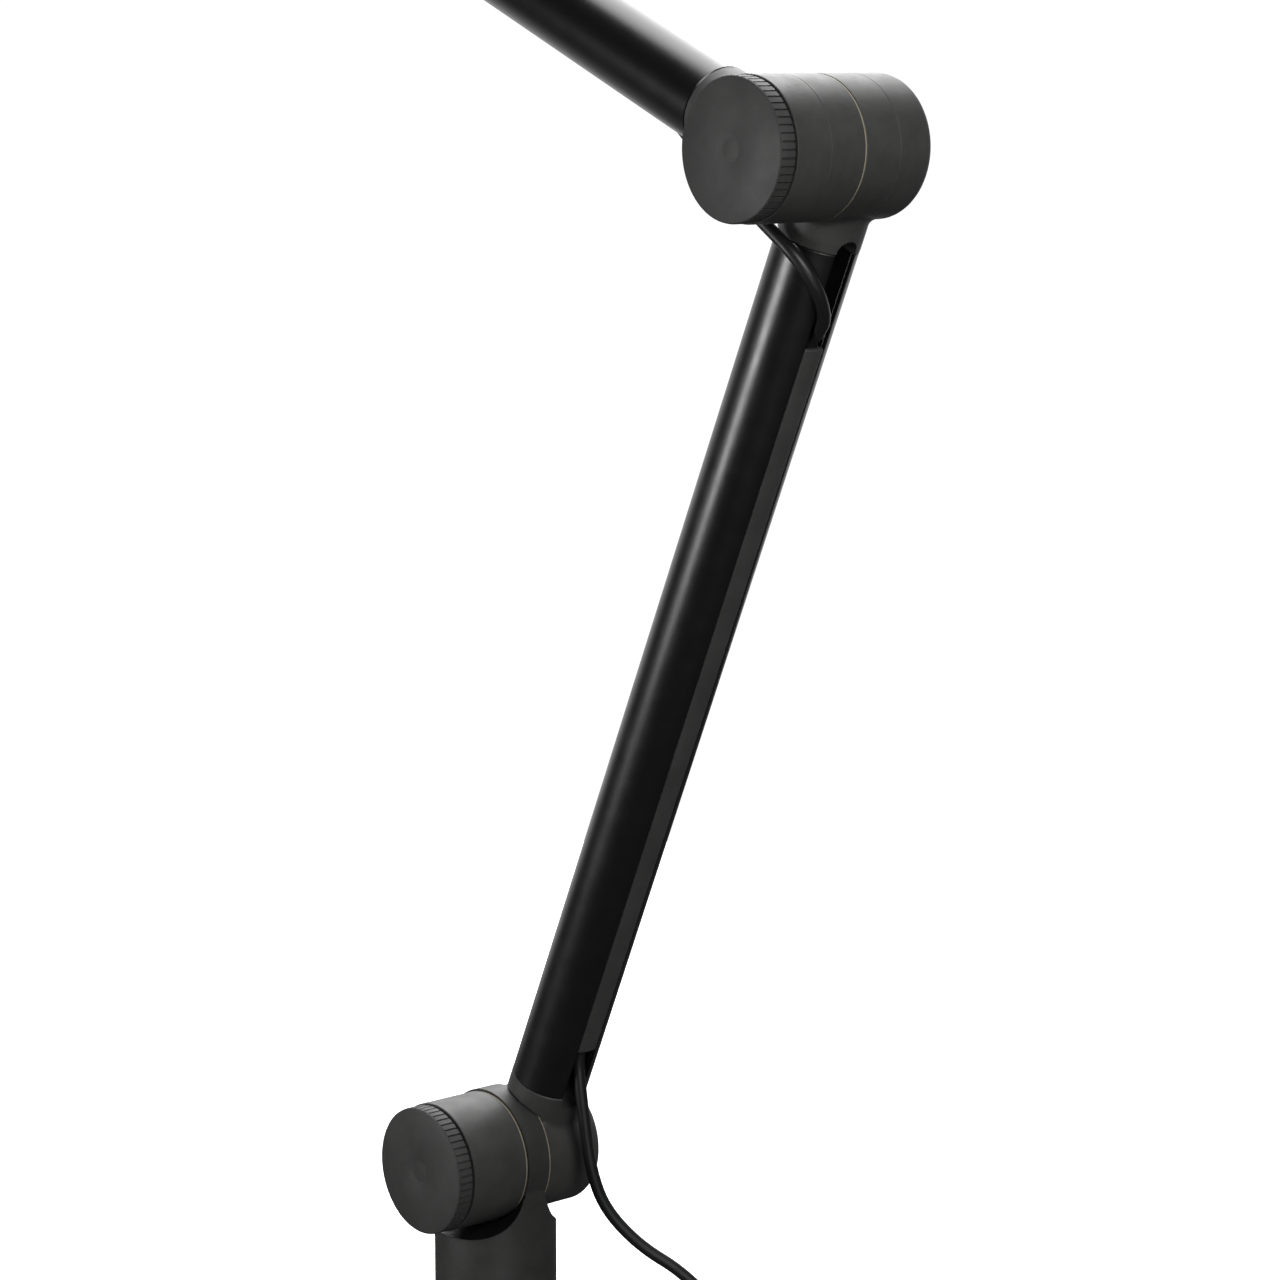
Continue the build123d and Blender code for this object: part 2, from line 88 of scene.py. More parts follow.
KNOB_R = 22.9
HUB_R = 8.0
HUB_END = -20.0
FLUTES = 56
FLUTE_DEPTH = 0.6

CORD_R = 0.0022                    # metres, as the routes below


# ---- where things are, from the frame ---------------------------------------------
def pivot(name):
    return Vector(next(j["pos_m"] for j in frame["joints"] if j["name"] == name))


def about(centre, turn=0.0):
    """Millimetres about a pivot, turned about Y, to the row's frame."""
    return Matrix.Translation(centre) @ Matrix.Rotation(turn, 4, "Y") @ Matrix.Scale(MM, 4)


SHOULDER, ELBOW, WRIST = pivot("shoulder"), pivot("elbow"), pivot("head_tilt")
LEAN = atan2(ELBOW.x - SHOULDER.x, ELBOW.z - SHOULDER.z)
RAISE = atan2(WRIST.x - ELBOW.x, WRIST.z - ELBOW.z)
FLIP = Matrix.Diagonal((1, 1, -1, 1))


# ---- mesh building ----------------------------------------------------------------
def piece(name, shells, place, body, material, replaces=(), sharp=28):
    """One object from closed shells, each a (points, faces) pair."""
    bm = bmesh.new()
    for points, faces in shells:
        made = [bm.verts.new(p) for p in points]
        for face in faces:
            bm.faces.new([made[k] for k in face])
    bmesh.ops.remove_doubles(bm, verts=bm.verts, dist=1e-5)
    return finished(name, bm, place, body, material, replaces, sharp)


def finished(name, bm, place, body, material, replaces=(), sharp=28):
    bm.transform(place)
    bmesh.ops.recalc_face_normals(bm, faces=bm.faces)
    mesh = bpy.data.meshes.new(name)
    bm.to_mesh(mesh)
    bm.free()
    mesh.shade_smooth()
    mesh.set_sharp_from_angle(angle=radians(sharp))
    obj = bpy.data.objects.new(name, mesh)
    bpy.context.scene.collection.objects.link(obj)
    mesh.materials.append(material)
    if body:
        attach(obj, body)
    if replaces:
        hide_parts(*replaces)
    return obj


def bridge(rings):
    """Faces between rings of point numbers. A ring of one point closes to a fan."""
    faces = []
    for a, b in zip(rings, rings[1:]):
        count = max(len(a), len(b))
        for k in range(count):
            corners = (a[k % len(a)], a[(k + 1) % len(a)], b[(k + 1) % len(b)], b[k % len(b)])
            faces.append(list(dict.fromkeys(corners)))
    return faces


def turned(profile, segments=160, relief=None):
    """Surface turned about Y from (y, radius) points. The relief, (angle, 0 or 1) pairs
    round the axis, is cut as deep as a point's third value says."""
    relief = relief or [(tau * k / segments, 0) for k in range(segments)]
    points, rings = [], []
    for y, r, *depth in profile:
        start = len(points)
        if r == 0:
            points.append((0, y, 0))
        else:
            for a, share in relief:
                radius = r - (depth[0] if depth else 0) * share
                points.append((radius * sin(a), y, radius * cos(a)))
        rings.append(list(range(start, len(points))))
    if profile[0][1] > 0:
        rings.append(rings[0])
    return points, bridge(rings)


def arc(centre, radius, start, end, steps=6):
    """(y, r) points of a profile's rounded corner; angles in degrees from +y."""
    turns = [radians(start + (end - start) * k / steps) for k in range(steps + 1)]
    return [(centre[0] + radius * cos(t), centre[1] + radius * sin(t)) for t in turns]


def cut(obj, *cutters):
    """Takes closed shells, in the object's own millimetres, out of it."""
    for cutter in cutters:
        modifier = obj.modifiers.new("cut", "BOOLEAN")
        modifier.operation, modifier.solver, modifier.object = "DIFFERENCE", "EXACT", cutter
    evaluated = obj.evaluated_get(bpy.context.evaluated_depsgraph_get())
    mesh = bpy.data.meshes.new_from_object(evaluated)
    obj.modifiers.clear()
    old, obj.data = obj.data, mesh
    bpy.data.meshes.remove(old)
    mesh.set_sharp_from_angle(angle=radians(28))
    for cutter in cutters:
        bpy.data.objects.remove(cutter)


# ---- materials --------------------------------------------------------------------
class Nodes:
    """A short way to write a material's nodes."""

    def __init__(self, name):
        self.material = bpy.data.materials.new(name)
        self.material.use_nodes = True
        self.tree = self.material.node_tree
        self.shader = self.tree.nodes["Principled BSDF"]

    def add(self, kind, inputs=None, **settings):
        node = self.tree.nodes.new(kind)
        for key, value in settings.items():
            setattr(node, key, value)
        for key, value in (inputs or {}).items():
            self.put(node, key, value)
        return node

    def put(self, node, key, value):
        if isinstance(value, bpy.types.NodeSocket):
            self.tree.links.new(value, node.inputs[key])
        else:
            node.inputs[key].default_value = value

    def coords(self, scale=(1, 1, 1), turn=0.0):
        place = self.add("ShaderNodeTexCoord").outputs["Object"]
        upright = self.add("ShaderNodeMapping", {0: place, "Rotation": (0, turn, 0)}).outputs[0]
        return self.add("ShaderNodeMapping", {0: upright, "Scale": scale}).outputs[0]

    def noise(self, where, scale, detail=3.0, roughness=0.55):
        values = {"Vector": where, "Scale": scale, "Detail": detail, "Roughness": roughness}
        return self.add("ShaderNodeTexNoise", values).outputs[0]

    def span(self, value, low, high, start=0.3, end=0.7):
        values = {"Value": value, "From Min": start, "From Max": end, "To Min": low, "To Max": high}
        return self.add("ShaderNodeMapRange", values).outputs[0]

    def blend(self, factor, first, second):
        values = {"Factor": factor, 6: (*first, 1), 7: (*second, 1)}
        return self.add("ShaderNodeMix", values, data_type="RGBA").outputs[2]

    def bump(self, height, depth, under=None):
        values = {"Height": height, "Distance": depth}
        if under:
            values["Normal"] = under
        return self.add("ShaderNodeBump", values).outputs[0]


def tone(colour, factor):
    return tuple(min(1.0, c * factor) for c in colour)


def outside_painted_shade(n, where):
    """0 on the faces milled into the post's top, where the colour is painted near black as painted shade under the
    barrel; 1 elsewhere.
    """
    flat = n.add("ShaderNodeVectorMath", {0: where, 1: (1, 1, 0)}, operation="MULTIPLY").outputs[0]
    radius = n.add("ShaderNodeVectorMath", {0: flat}, operation="LENGTH").outputs["Value"]
    height = n.add("ShaderNodeSeparateXYZ", {0: where}).outputs[2]
    masks = {0: n.span(radius, 0, 1, 0.0218, 0.0220), 1: n.span(height, 0, 1, 0.139, 0.140)}
    return n.add("ShaderNodeMath", masks, operation="MAXIMUM").outputs[0]


def finish_of(name, colour, rough, grain=(2600, 0.00003), vary=0.18, spread=0.08,
              metal=0.0, specular=0.5, streak=None, turn=0.0, mask=None):
    """A surface with clouded colour, fine grain, uneven gloss and, if it is drawn or
    extruded, streaks along the arm's length."""
    n = Nodes(name)
    where = n.coords()
    clouds = n.noise(where, 55, detail=9, roughness=0.68)
    paint = n.blend(n.span(clouds, 0, 1), tone(colour, 1 - vary), tone(colour, 1 + vary))
    # Where the mask is 0 the colour drops to near black: painted shade standing in for a shadow.
    if mask:
        values = {"Factor": mask(n, where), 6: (*tone(colour, 0.06), 1), 7: paint}
        paint = n.add("ShaderNodeMix", values, data_type="RGBA").outputs[2]
    n.put(n.shader, "Base Color", paint)
    smudges = n.noise(where, 130, detail=4)
    n.put(n.shader, "Roughness", n.span(smudges, rough - spread, rough + spread))
    normal = n.bump(n.noise(where, grain[0], detail=2), grain[1])
    if streak:
        along = n.coords(scale=(1, 1, 0.012), turn=-turn)
        normal = n.bump(n.noise(along, streak[0], detail=2), streak[1], under=normal)
    n.put(n.shader, "Normal", normal)
    n.put(n.shader, "Metallic", metal)
    n.put(n.shader, "Specular IOR Level", specular)
    return n.material


HOUSING = finish_of("housing_black", (0.053, 0.053, 0.0515), 0.52, grain=(950, 0.00004), vary=0.24,
                    spread=0.06, specular=0.45)
# The post's top pocket is painted near black as painted shade under the shoulder barrel.
POST = finish_of("post_black", (0.040, 0.040, 0.0388), 0.50, grain=(950, 0.00004), vary=0.24,
                 spread=0.06, specular=0.45, mask=outside_painted_shade)
KNOB = finish_of("knob_black", (0.048, 0.048, 0.0468), 0.56, grain=(1100, 0.00004), vary=0.24,
                 spread=0.05, specular=0.4)
TUBE_LOW = finish_of("lower_tube_black", (0.0035, 0.0035, 0.0038), 0.32, grain=(3200, 0.000006),
                     specular=0.8, spread=0.03, streak=(900, 0.00001), turn=LEAN)
TUBE_UP = finish_of("forearm_tube_black", (0.0035, 0.0035, 0.0038), 0.29, grain=(3200, 0.000001),
                    specular=0.6, spread=0.015, streak=(700, 0.0000015), turn=RAISE)
COVER_BLACK = finish_of("cover_black", (0.058, 0.058, 0.057), 0.5, grain=(2200, 0.00004))
CABLE = finish_of("cable_rubber", (0.010, 0.010, 0.011), 0.42, grain=(1800, 0.00002), spread=0.06)
TAN = finish_of("washer_tan", (0.33, 0.29, 0.21), 0.6)
IRON = finish_of("cast_iron_black", (0.03, 0.031, 0.032), 0.62, grain=(900, 0.00016), specular=0.4)
PAD = finish_of("pad_rubber", (0.018, 0.018, 0.018), 0.85, grain=(1400, 0.00008), specular=0.3)
STEEL = finish_of("zinc_steel", (0.55, 0.55, 0.54), 0.32, grain=(2600, 0.000003), metal=1.0,
                  streak=(400, 0.000003))
BLACK_STEEL = finish_of("black_steel", (0.05, 0.05, 0.05), 0.4, metal=0.8)
BRASS = finish_of("turned_brass", (0.72, 0.52, 0.22), 0.3, grain=(2600, 0.000003), metal=1.0)
BRONZE = finish_of("sintered_bronze", (0.50, 0.33, 0.17), 0.5, metal=1.0, grain=(3200, 0.00005))
STRAP = finish_of("strap_weave", (0.02, 0.02, 0.022), 0.9, grain=(1500, 0.0002), specular=0.2)

FINISHES = {
    "cast_iron": IRON, "pad_rubber": PAD, "dark_metal": POST, "tube_black": TUBE_LOW,
    "cover_plastic": COVER_BLACK, "knob_plastic": KNOB, "tan_washer": TAN, "steel": STEEL,
    "black_steel": BLACK_STEEL, "brass": BRASS, "bronze": BRONZE, "cable_rubber": CABLE,
    "tie_fabric": STRAP,
}


def dress_cad_nodes():
    """Every CAD node takes its slot's finish; replaced ones are hidden later."""
    for part in frame["record"]["subparts"]:
        mesh = frame["nodes"][part["node"]].data
        mesh.materials.clear()
        mesh.materials.append(FINISHES[part["material_slot"]])
    frame["nodes"]["forearm_tube"].data.materials[0] = TUBE_UP


# ---- joints' housings ---------------------------------------------------------------
def stadium(y, side, inner, outer, low, high):
    """Closed bar for a notch as wide as the rebate. It runs along z from its round end,
    centred on low, to high, and from inner to outer along x times side."""
    turns = [pi * k / 24 - pi / 2 for k in range(25)]
    ring = [(y + MOUTH * sin(a), low - MOUTH * cos(a)) for a in turns]
    outline = ring + [(y + MOUTH, high), (y - MOUTH, high)]
    points = [(side * x, p[0], p[1]) for x in (inner, outer) for p in outline]
    count = len(outline)
    sides = [[k, (k + 1) % count, (k + 1) % count + count, k + count] for k in range(count)]
    caps = [list(range(count)), list(range(count, 2 * count))]
    return points, sides + caps


def collar(y, seam, barrel_r, limits, fillet, steps=168):
    """A collar standing on a barrel, joined by the fillet that a ball rolled round the
    corner leaves. Between limits along y the barrel is there to roll on."""
    points, rings = [(0, y, seam)], [[0]]
    rows = [[] for _ in range(13)]
    for k in range(steps):
        c, s = cos(tau * k / steps), sin(tau * k / steps)
        edge = limits[1] if s > 0 else limits[0]
        ball = fillet
        if abs(s) > 1e-6:
            ball = min(fillet, max(0.25, (edge - y - COLLAR_R * s) / s))
        bx, by = (COLLAR_R + ball) * c, y + (COLLAR_R + ball) * s
        bz = sqrt((barrel_r + ball) ** 2 - bx**2)
        start, end = Vector((-c, -s, 0)), Vector((-bx, 0, -bz)).normalized()
        turn = acos(start.dot(end))
        top = ((COLLAR_R - 0.3, seam), (COLLAR_R, seam - 0.3))
        path = [Vector((r * c, y + r * s, z)) for r, z in top]
        for n in range(9):
            f = n / 8
            mix = (start * sin((1 - f) * turn) + end * sin(f * turn)) / sin(turn)
            path.append(Vector((bx, by, bz)) + mix * ball)
        last = path[-1]
        path.append(Vector((last.x * 0.9, last.y, last.z * 0.9)))
        path.append(Vector((4 * c, y + 4 * s, 9)))
        for row, p in zip(rows, path):
            row.append(tuple(p))
    for row in rows:
        rings.append(list(range(len(points), len(points) + steps)))
        points += row
    points.append((0, y, 9))
    rings.append([len(points) - 1])
    return points, bridge(rings)


def barrel_profile(low, high, radius, seam=None, round_end=0.0, pocket=0.0):
    """(y, r) points of a solid barrel. A fine parting line runs round it at seam."""
    edge = 0.25
    profile = [(low, 0), (low, radius - edge), (low + edge, radius)]
    if seam is not None:
        profile += [(seam - 0.12, radius), (seam, radius - 0.1), (seam + 0.12, radius)]
    if round_end:
        profile += arc((high - round_end, radius - round_end), round_end, 90, 0, 10)
    else:
        profile += [(high - edge, radius), (high, radius - edge)]
    if pocket:
        profile += [(high, pocket + 0.3), (high - 0.3, pocket), (high - 5, pocket), (high - 5, 0)]
    else:
        profile += [(high, 0)]
    return profile


def tool(name, shell, place):
    """A cutter, in place."""
    return piece(name, [shell], place, None, HOUSING)


def shoulder_housings():
    near = barrel_profile(*NEAR_SPAN, NEAR_R)
    piece("shoulder_near_shell", [turned(near)], about(SHOULDER), "lower_arm",
          HOUSING, ["shoulder_near_housing"])
    place = about(SHOULDER, LEAN)
    far = barrel_profile(*FAR_SPAN, FAR_R, round_end=ROUND_END, pocket=CAP_POCKET_R)
    body = piece("shoulder_far_shell", [turned(far)], place, "lower_arm",
                 HOUSING, ["shoulder_far_housing"])
    shell = collar(LOWER_Y, SEAM, FAR_R, (6.6, 27.3), LOW_COLLAR_FILLET)
    neck = piece("shoulder_collar", [shell], place, "lower_arm", HOUSING)
    edge, lug = FAR_SPAN[0], LUG_R + 0.6
    clearance = turned([(-20, 0), (-20, lug), (edge, lug), (edge, 0)])
    notch = stadium(LOWER_Y, 1, CHANNEL_FLOOR, 25, SEAM - NOTCH + MOUTH, SEAM + 2)
    cut(neck, tool("clearance", clearance, place), tool("notch", notch, place))
    cut(body, tool("notch", notch, place))


def elbow_housings():
    place = about(ELBOW, LEAN) @ FLIP
    far = barrel_profile(*ELBOW_FAR_SPAN, ELBOW_R, FAR_PARTING, ROUND_END, CAP_POCKET_R)
    body = piece("elbow_far_shell", [turned(far)], place, "lower_arm",
                 HOUSING, ["elbow_far_housing"])
    shell = collar(LOWER_Y, TOP_SEAM, ELBOW_R, (1.9, 25.9), COLLAR_FILLET)
    neck = piece("elbow_far_collar", [shell], place, "lower_arm", HOUSING)
    notch = stadium(LOWER_Y, 1, CHANNEL_FLOOR, 25, TOP_SEAM - NOTCH + MOUTH, TOP_SEAM + 2)
    cut(neck, tool("notch", notch, place))
    cut(body, tool("notch", notch, place))
    place = about(ELBOW, RAISE)
    near = barrel_profile(*ELBOW_NEAR_SPAN, ELBOW_R, NEAR_PARTING)
    body = piece("elbow_near_shell", [turned(near)], place, "forearm",
                 HOUSING, ["elbow_near_housing"])
    shell = collar(UPPER_Y, SEAM, ELBOW_R, (-27.5, 0.8), COLLAR_FILLET)
    neck = piece("elbow_near_collar", [shell], place, "forearm", HOUSING)
    notch = stadium(UPPER_Y, -1, CHANNEL_FLOOR, 25, SEAM - NOTCH + MOUTH, SEAM + 2)
    cut(neck, tool("notch", notch, place))
    cut(body, tool("notch", notch, place))


# ---- knobs ------------------------------------------------------------------------
def flutes():
    """Flat ridges between narrow slots, as (angle, 0 or 1) pairs round the rim."""
    pitch = tau / FLUTES
    steps = ((0, 0), (0.74, 0), (0.78, 1), (0.96, 1))
    return [(pitch * (k + part), share) for k in range(FLUTES) for part, share in steps]


def knob(name, centre, face, back):
    """A knob whose hollow rim runs from face to back along y, with a disc on its face."""
    shallow = FLUTE_DEPTH - 0.1
    rim = [
        (face + 0.55, 0), (face + 0.55, KNOB_R - 0.5), (face + 0.6, KNOB_R - 0.1, shallow),
        (face + 0.8, KNOB_R, FLUTE_DEPTH), (back - 0.3, KNOB_R, FLUTE_DEPTH),
        (back, KNOB_R - 0.25, shallow), (back, KNOB_R - 2.6), (back - 3, KNOB_R - 3),
        (back - 3, HUB_R + 0.2), (HUB_END - 0.2, HUB_R), (HUB_END, HUB_R - 0.2), (HUB_END, 0),
    ]
    piece(name + "_rim", [turned(rim, relief=flutes())], about(centre), name,
          KNOB, [name])
    disc = [
        (face + 0.03, 0), (face + 0.03, 3.3), (face + 0.07, 3.6), (face + 0.07, 4.0), (face, 4.4),
        (face, KNOB_R - 0.6), (face + 0.1, KNOB_R - 0.35), (face + 0.35, KNOB_R - 0.12),
        (face + 0.54, KNOB_R - 0.12), (face + 0.54, 0),
    ]
    piece(name + "_face", [turned(disc, 200)], about(centre), name, KNOB,
          [name + "_cap"])


def washers():
    for name, centre, body, radius, low, high in (
        ("shoulder_near_washer", SHOULDER, "lower_arm", NEAR_R, -4.15, -3.65),
        ("shoulder_far_washer", SHOULDER, "lower_arm", LUG_R, 5.95, 6.5),
        ("elbow_washer", ELBOW, "lower_arm", ELBOW_R, 1.1, 1.6),
    ):
        rim = radius - 0.15
        ring = [
            (low, 5.2), (low, rim - 0.1), (low + 0.1, rim), (high - 0.1, rim), (high, rim - 0.1),
            (high, 5.2),
        ]
        piece(name + "_ring", [turned(ring)], about(centre), body, TAN, [name])


# ---- tubes and covers ---------------------------------------------------------------
def extruded(loops, low, high, y, edge):
    """A bar along z with these outlines, outer first, its ends bevelled by edge."""
    bm = bmesh.new()
    levels = ((low, edge), (low + edge, 0), (high - edge, 0), (high, edge))
    caps = {0: [], 3: []}
    for number, loop in enumerate(loops):
        rows = []
        for z, inset in levels:
            scale = 1 - inset / TUBE_R if number == 0 else 1 + inset / BORE_R
            rows.append([bm.verts.new((p[0] * scale, p[1] * scale + y, z)) for p in loop])
        count = len(loop)
        for a, b in zip(rows, rows[1:]):
            for k in range(count):
                bm.faces.new((a[k], a[(k + 1) % count], b[(k + 1) % count], b[k]))
        for level in caps:
            row = rows[level]
            caps[level] += [bm.edges.get((row[k], row[(k + 1) % count])) for k in range(count)]
    for edges in caps.values():
        bmesh.ops.triangle_fill(bm, edges=edges, use_beauty=True)
    return bm


def tube_outlines(side):
    """The tube's outside, channel included, and its hollow."""
    lip = asin((MOUTH + 0.3) / TUBE_R)
    turns = [lip + (tau - 2 * lip) * k / 120 for k in range(121)]
    outside = [(TUBE_R * cos(a), TUBE_R * sin(a)) for a in turns]
    rim = sqrt(TUBE_R**2 - MOUTH**2)
    half = [
        (rim - 0.12, MOUTH + 0.08), (rim - 0.32, MOUTH), (REBATE_FLOOR, MOUTH),
        (REBATE_FLOOR, CHANNEL + 0.15), (REBATE_FLOOR - 0.15, CHANNEL), (CHANNEL_FLOOR + 1, CHANNEL),
        (CHANNEL_FLOOR + 0.3, CHANNEL - 0.3), (CHANNEL_FLOOR, CHANNEL - 1),
    ]
    outer = outside + [(x, -y) for x, y in half] + half[::-1]
    floor, wall = CHANNEL_FLOOR - CHANNEL_WALL, CHANNEL + CHANNEL_WALL
    turn = atan2(wall, sqrt(BORE_R**2 - wall**2))
    turns = [turn + (tau - 2 * turn) * k / 60 for k in range(61)]
    inner = [(BORE_R * cos(a), BORE_R * sin(a)) for a in turns]
    inner += [(floor, -wall), (floor, wall)]
    return [[(side * x, y) for x, y in loop] for loop in (outer, inner)]


def cover_outline(side):
    half_width, under, leg = MOUTH - 0.12, REBATE_FLOOR + 0.1, CHANNEL - 0.15
    edge = asin((half_width - 0.25) / TUBE_R)
    turns = [-edge + 2 * edge * k / 14 for k in range(15)]
    top = [(TUBE_R * cos(a), TUBE_R * sin(a)) for a in turns]
    rim = sqrt(TUBE_R**2 - half_width**2)
    half = [
        (rim - 0.06, half_width - 0.07), (rim - 0.3, half_width), (under, half_width), (under, leg),
        (under - 2.4, leg), (under - 2.6, leg - 0.3), (under - 2.4, leg - 0.6), (under, leg - 0.6),
    ]
    return [[(side * x, y) for x, y in top + half + [(x, -y) for x, y in half[::-1]]]]


def tubes_and_covers():
    span = (SEAM + TUBE_GAP, ARM - TOP_SEAM - TUBE_GAP)
    for arm, place, y, side, cover, finish in (
        ("lower", about(SHOULDER, LEAN), LOWER_Y, 1, COVER, TUBE_LOW),
        ("forearm", about(ELBOW, RAISE), UPPER_Y, -1, UPPER_COVER, TUBE_UP),
    ):
        body = "lower_arm" if arm == "lower" else arm
        finished(arm + "_tube_shell", extruded(tube_outlines(side), *span, y, 0.3), place, body,
                 finish, [arm + "_tube"])
        finished(arm + "_cover_strip", extruded(cover_outline(side), *cover, y, 0.25), place,
                 arm + "_cover", COVER_BLACK, [arm + "_cover"])


# ---- the cable outside the arm --------------------------------------------------------
LOOP = [
    (0.0962, -0.0139, 0.53395), (0.1044, -0.0139, 0.5304), (0.1137, -0.0139, 0.5238),
    (0.1232, -0.0129, 0.5147), (0.1326, -0.0102, 0.5048), (0.1406, -0.0064, 0.4963),
    (0.1464, -0.0039, 0.4904), (0.1514, -0.0025, 0.4860), (0.1561, -0.0009, 0.4813),
    (0.1594, 0.0020, 0.4755), (0.1598, 0.0064, 0.4689), (0.1569, 0.0118, 0.4610),
    (0.1506, 0.0153, 0.4564), (0.1440, 0.01578, 0.4513), (0.1410, 0.01578, 0.4444),
]
TAIL = [
    (0.0305, 0.01578, 0.1955), (0.0281, 0.01578, 0.1889), (0.0292, 0.0160, 0.1780),
    (0.0305, 0.0169, 0.1645), (0.0321, 0.0183, 0.1480), (0.0350, 0.0222, 0.1328),
    (0.0432, 0.0320, 0.1184), (0.0531, 0.0450, 0.1078), (0.0646, 0.0570, 0.0896),
    (0.0754, 0.0696, 0.0688), (0.0840, 0.0816, 0.0464), (0.0906, 0.0934, 0.0234),
    (0.0974, 0.1082, 0.0033), (0.1064, 0.1286, 0.0033),
]
PLUG_END = [
    (0.1641, 0.1107, 0.0077), (0.1610, 0.0926, 0.0062), (0.1572, 0.0770, 0.0046),
    (0.1532, 0.0630, 0.0046),
]


def coil_points():
    """Turns of the put-away cable: inwards on the desk, then outwards on top of them."""
    centre, outer, pitch, per_turn = Vector((0.134, 0.116, 0)), 0.0306, 0.0044, 16
    inward, climb, entry = 3.0, 0.6, radians(156.8)
    points = []
    for k in range(1, 104):
        turn = k / per_turn
        shift = min(turn, inward) - max(0.0, turn - inward - climb)
        rise = min(1.0, max(0.0, (turn - inward) / climb))
        a, r = entry - tau * turn, outer - pitch * shift
        points.append((centre.x + r * cos(a), centre.y + r * sin(a), 0.0033 + rise * 0.0044))
    return points


def smooth_line(points):
    """Points along the NURBS line whose control points these are."""
    curve = bpy.data.curves.new("route", "CURVE")
    curve.dimensions = "3D"
    spline = curve.splines.new("NURBS")
    spline.points.add(len(points) - 1)
    for control, p in zip(spline.points, points):
        control.co = (*p, 1)
    spline.order_u = 3
    spline.use_endpoint_u = True
    spline.resolution_u = 12
    route = bpy.data.objects.new("route", curve)
    bpy.context.scene.collection.objects.link(route)
    evaluated = route.evaluated_get(bpy.context.evaluated_depsgraph_get())
    mesh = bpy.data.meshes.new_from_object(evaluated)
    line = [v.co.copy() for v in mesh.vertices]
    bpy.data.objects.remove(route)
    bpy.data.meshes.remove(mesh)
    return line


def hose(name, line, radius, around=20):
    """A round tube along a line, closed at both ends."""
    points, rings = [tuple(line[0])], [[0]]
    side = Vector((0, 1, 0))
    for k, p in enumerate(line):
        along = (line[min(k + 1, len(line) - 1)] - line[max(k - 1, 0)]).normalized()
        side = (side - along * side.dot(along)).normalized()
        other = along.cross(side)
        rings.append(list(range(len(points), len(points) + around)))
        for n in range(around):
            a = tau * n / around
            points.append(tuple(p + radius * (side * cos(a) + other * sin(a))))
    rings.append([len(points)])
    points.append(tuple(line[-1]))
    shells = [(points, bridge(rings))]
    return piece(name, shells, Matrix(), None, CABLE, sharp=60)


def cables():
    line = smooth_line(LOOP)
    loop = hose("elbow_loop", line, CORD_R)
    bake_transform(loop)
    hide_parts("elbow_cable_loop")
    line = smooth_line(TAIL + coil_points() + PLUG_END)
    tail = hose("power_cable", line, CORD_R)
    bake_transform(tail)
    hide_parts("cable_tail", "cable_coil", "cable_end")


# ---- stage ------------------------------------------------------------------------
def soft_light(name, at, aim, size, power):
    data = bpy.data.lights.new(name, "AREA")
    data.shape, data.size, data.size_y = "RECTANGLE", *size
    data.energy = power
    light = bpy.data.objects.new(name, data)
    bpy.context.scene.collection.objects.link(light)
    light.location = at
    light.rotation_euler = (Vector(aim) - Vector(at)).to_track_quat("-Z", "Y").to_euler()


def studio():
    """White to look at, dim to the surfaces except from the lit backdrop behind."""
    scene = bpy.context.scene
    scene.view_settings.view_transform = "Standard"
    world = bpy.data.worlds.new("studio")
    scene.world = world
    world.use_nodes = True
    tree = world.node_tree
    new, link = tree.nodes.new, tree.links.new
    background = tree.nodes["Background"]
    background.inputs["Color"].default_value = (1, 1, 1, 1)
    towards = new("ShaderNodeVectorMath")
    towards.operation = "DOT_PRODUCT"
    towards.inputs[1].default_value = (-0.75, 0.65, 0)
    link(new("ShaderNodeTexCoord").outputs["Generated"], towards.inputs[0])
    glow = new("ShaderNodeMapRange")
    glow.interpolation_type = "SMOOTHSTEP"
    for key, value in (("From Min", 0.45), ("From Max", 0.9), ("To Min", 0.04), ("To Max", 0.9)):
        glow.inputs[key].default_value = value
    link(towards.outputs["Value"], glow.inputs["Value"])
    strength = new("ShaderNodeMix")
    link(new("ShaderNodeLightPath").outputs["Is Camera Ray"], strength.inputs[0])
    link(glow.outputs[0], strength.inputs[2])
    strength.inputs[3].default_value = 1.05
    link(strength.outputs[0], background.inputs["Strength"])


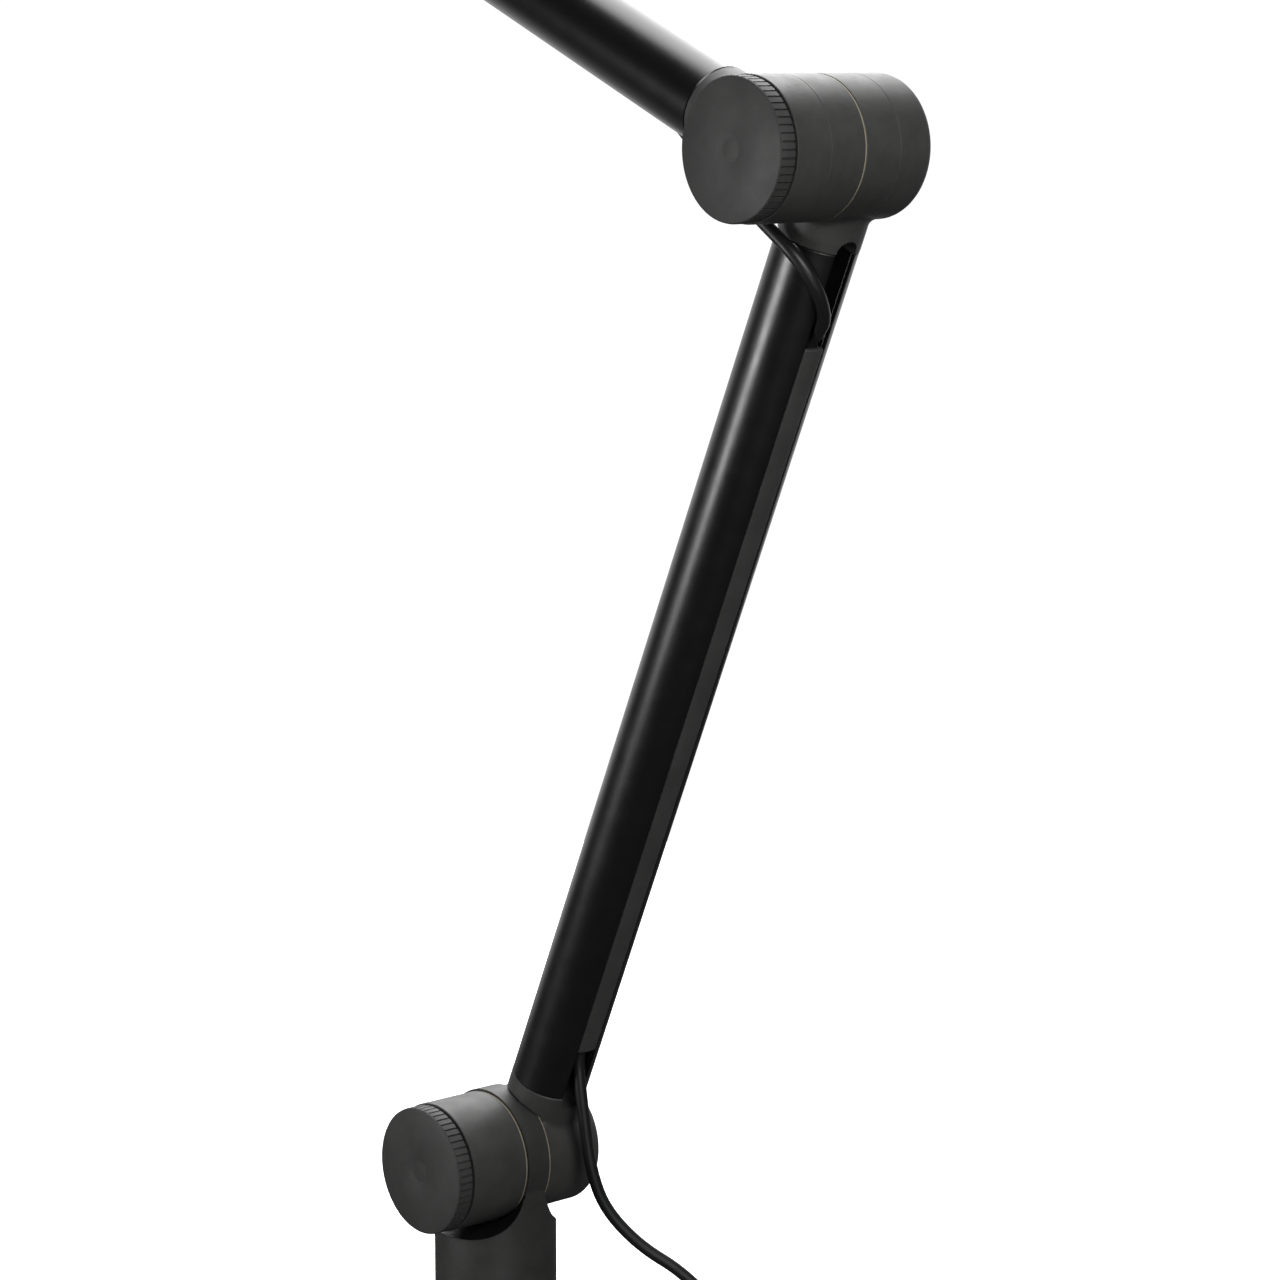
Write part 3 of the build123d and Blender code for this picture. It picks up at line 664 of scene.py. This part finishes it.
def paper_floor():
    """Pale paper that shows shadows near the base and fades into the lit white further
    out. It throws little light back, as black card round the object would."""
    n = Nodes("paper_floor")
    n.put(n.shader, "Base Color", (0.82, 0.82, 0.82, 1))
    n.put(n.shader, "Roughness", 0.9)
    place = n.add("ShaderNodeTexCoord").outputs["Object"]
    distance = n.add("ShaderNodeVectorMath", {0: place}, operation="LENGTH").outputs["Value"]
    n.put(n.shader, "Emission Color", (1, 1, 1, 1))
    n.put(n.shader, "Emission Strength", n.span(distance, 0.15, 1.0, 0.14, 0.3))
    card = n.add("ShaderNodeBsdfDiffuse", {"Color": (0.04, 0.04, 0.04, 1)})
    seen = n.add("ShaderNodeLightPath").outputs["Is Camera Ray"]
    either = n.add("ShaderNodeMixShader", {0: seen, 1: card.outputs[0], 2: n.shader.outputs[0]})
    n.put(n.tree.nodes["Material Output"], "Surface", either.outputs[0])
    bpy.ops.mesh.primitive_circle_add(vertices=96, radius=1.2, fill_type="NGON",
                                      location=(0, 0, -0.0004))
    floor = bpy.context.object
    floor.name = "paper_floor"
    floor.data.materials.append(n.material)


def lights():
    soft_light("key", (-0.36, -0.98, 0.34), (0.06, 0, 0.34), (0.3, 0.44), 5.0)
    soft_light("top", (-0.2, 0.3, 1.25), (0.1, 0, 0.5), (0.9, 0.7), 11)
    soft_light("back", (-1.25, 1.1, 1.35), (0, 0, 0.5), (1.5, 1.3), 22)
    soft_light("front", (1.15, -0.3, 0.95), (0.1, 0, 0.45), (0.5, 0.7), 8.5)
    soft_light("fill", (1.1, -0.55, 0.08), (0.1, 0, 0.35), (0.6, 0.12), 1.5)


def camera():
    data = bpy.data.cameras.new("camera")
    data.lens, data.sensor_width = 101.75, 36
    camera_ = bpy.data.objects.new("camera", data)
    bpy.context.scene.collection.objects.link(camera_)
    back = Vector((0.7436, -0.6487, 0.1621))
    camera_.location = SHOULDER + Vector((0.99065, -0.79424, 0.39722))
    camera_.rotation_euler = (-back).to_track_quat("-Z", "Y").to_euler()
    data.clip_end = 30
    bpy.context.scene.camera = camera_


dress_cad_nodes()
shoulder_housings()
elbow_housings()
knob("shoulder_knob", SHOULDER, -34.57, -28.35)
knob("elbow_knob", ELBOW, -34.69, -28.5)
washers()
tubes_and_covers()
cables()
studio()
paper_floor()
lights()
camera()
